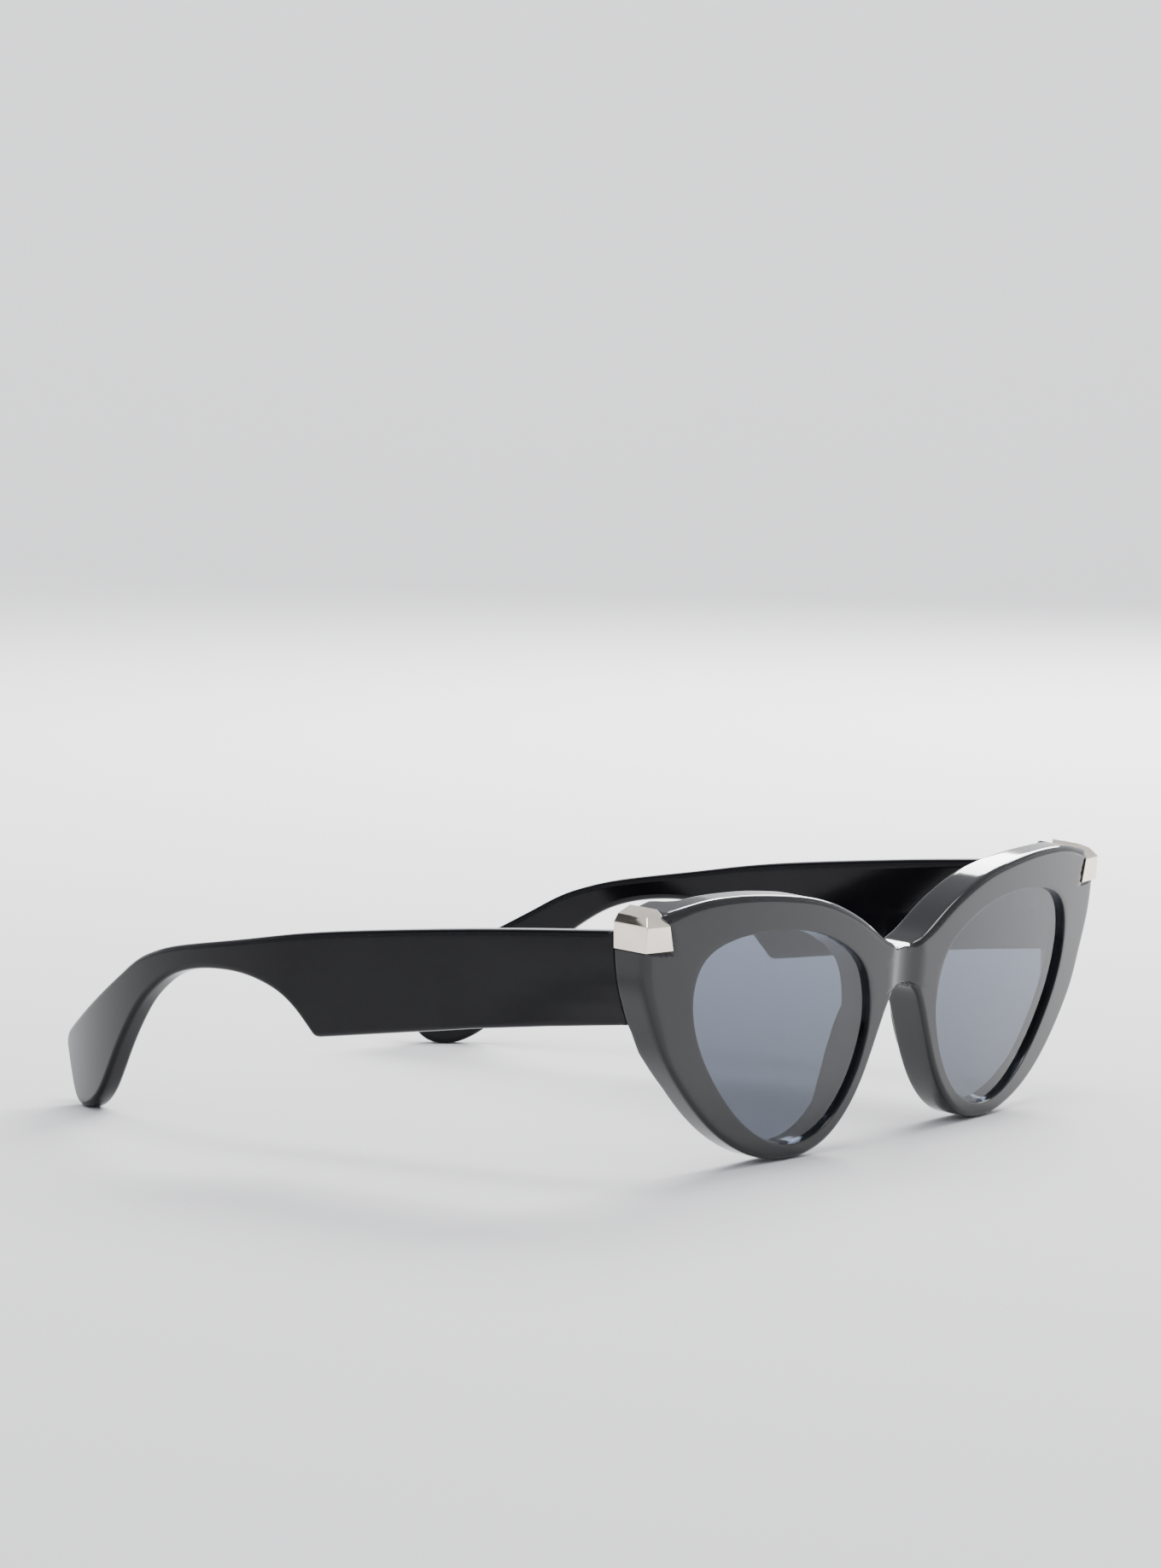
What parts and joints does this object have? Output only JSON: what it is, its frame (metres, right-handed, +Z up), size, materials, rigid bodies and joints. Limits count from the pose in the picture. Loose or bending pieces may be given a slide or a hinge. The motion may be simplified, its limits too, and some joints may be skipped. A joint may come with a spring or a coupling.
{
  "type": "cat eye sunglasses",
  "caption": "Folding sunglasses with an upswept cat eye front, tinted lenses, metal corner caps and wide temples with curved ear hooks.",
  "frame": {"origin": "on the surface that the sunglasses stand on, under the middle of their box", "axes": "+Z up, +Y from the front back towards the temple tips, +X towards the wearer's left"},
  "size_m": [0.1448, 0.1526, 0.0481],
  "materials": {
    "frame_acetate": "polished black acetate",
    "temple_acetate": "polished black acetate",
    "pad_acetate": "smooth black acetate",
    "lens_tint": "grey graduated tint",
    "cap_gold": "polished pale gold plating",
    "hinge_metal": "nickel silver",
    "screw_metal": "polished steel",
    "wire_metal": "drawn nickel silver"
  },
  "bodies": {
    "front": {"front_frame": "frame_acetate", "lens_left": "lens_tint", "lens_right": "lens_tint", "nose_pad_left": "pad_acetate", "nose_pad_right": "pad_acetate", "corner_cap_left": "cap_gold", "corner_cap_right": "cap_gold", "hinge_front_leaf_left": "hinge_metal", "hinge_front_leaf_right": "hinge_metal", "hinge_screw_left": "screw_metal", "hinge_screw_right": "screw_metal", "front_leaf_screws_left": "screw_metal", "front_leaf_screws_right": "screw_metal"},
    "temple_left": {"temple_left": "temple_acetate", "hinge_temple_leaf_left": "hinge_metal", "temple_leaf_screws_left": "screw_metal", "temple_core_wire_left": "wire_metal"},
    "temple_right": {"temple_right": "temple_acetate", "hinge_temple_leaf_right": "hinge_metal", "temple_leaf_screws_right": "screw_metal", "temple_core_wire_right": "wire_metal"}
  },
  "joints": [
    {"name": "temple_fold_left", "type": "hinge", "parent": "front", "child": "temple_left", "pos_m": [0.0666, -0.0625, 0.0344], "axis": [0, 0, 1], "range_deg": [0, 84]},
    {"name": "temple_fold_right", "type": "hinge", "parent": "front", "child": "temple_right", "pos_m": [-0.0666, -0.0625, 0.0344], "axis": [0, 0, -1], "range_deg": [0, 68]}
  ]
}
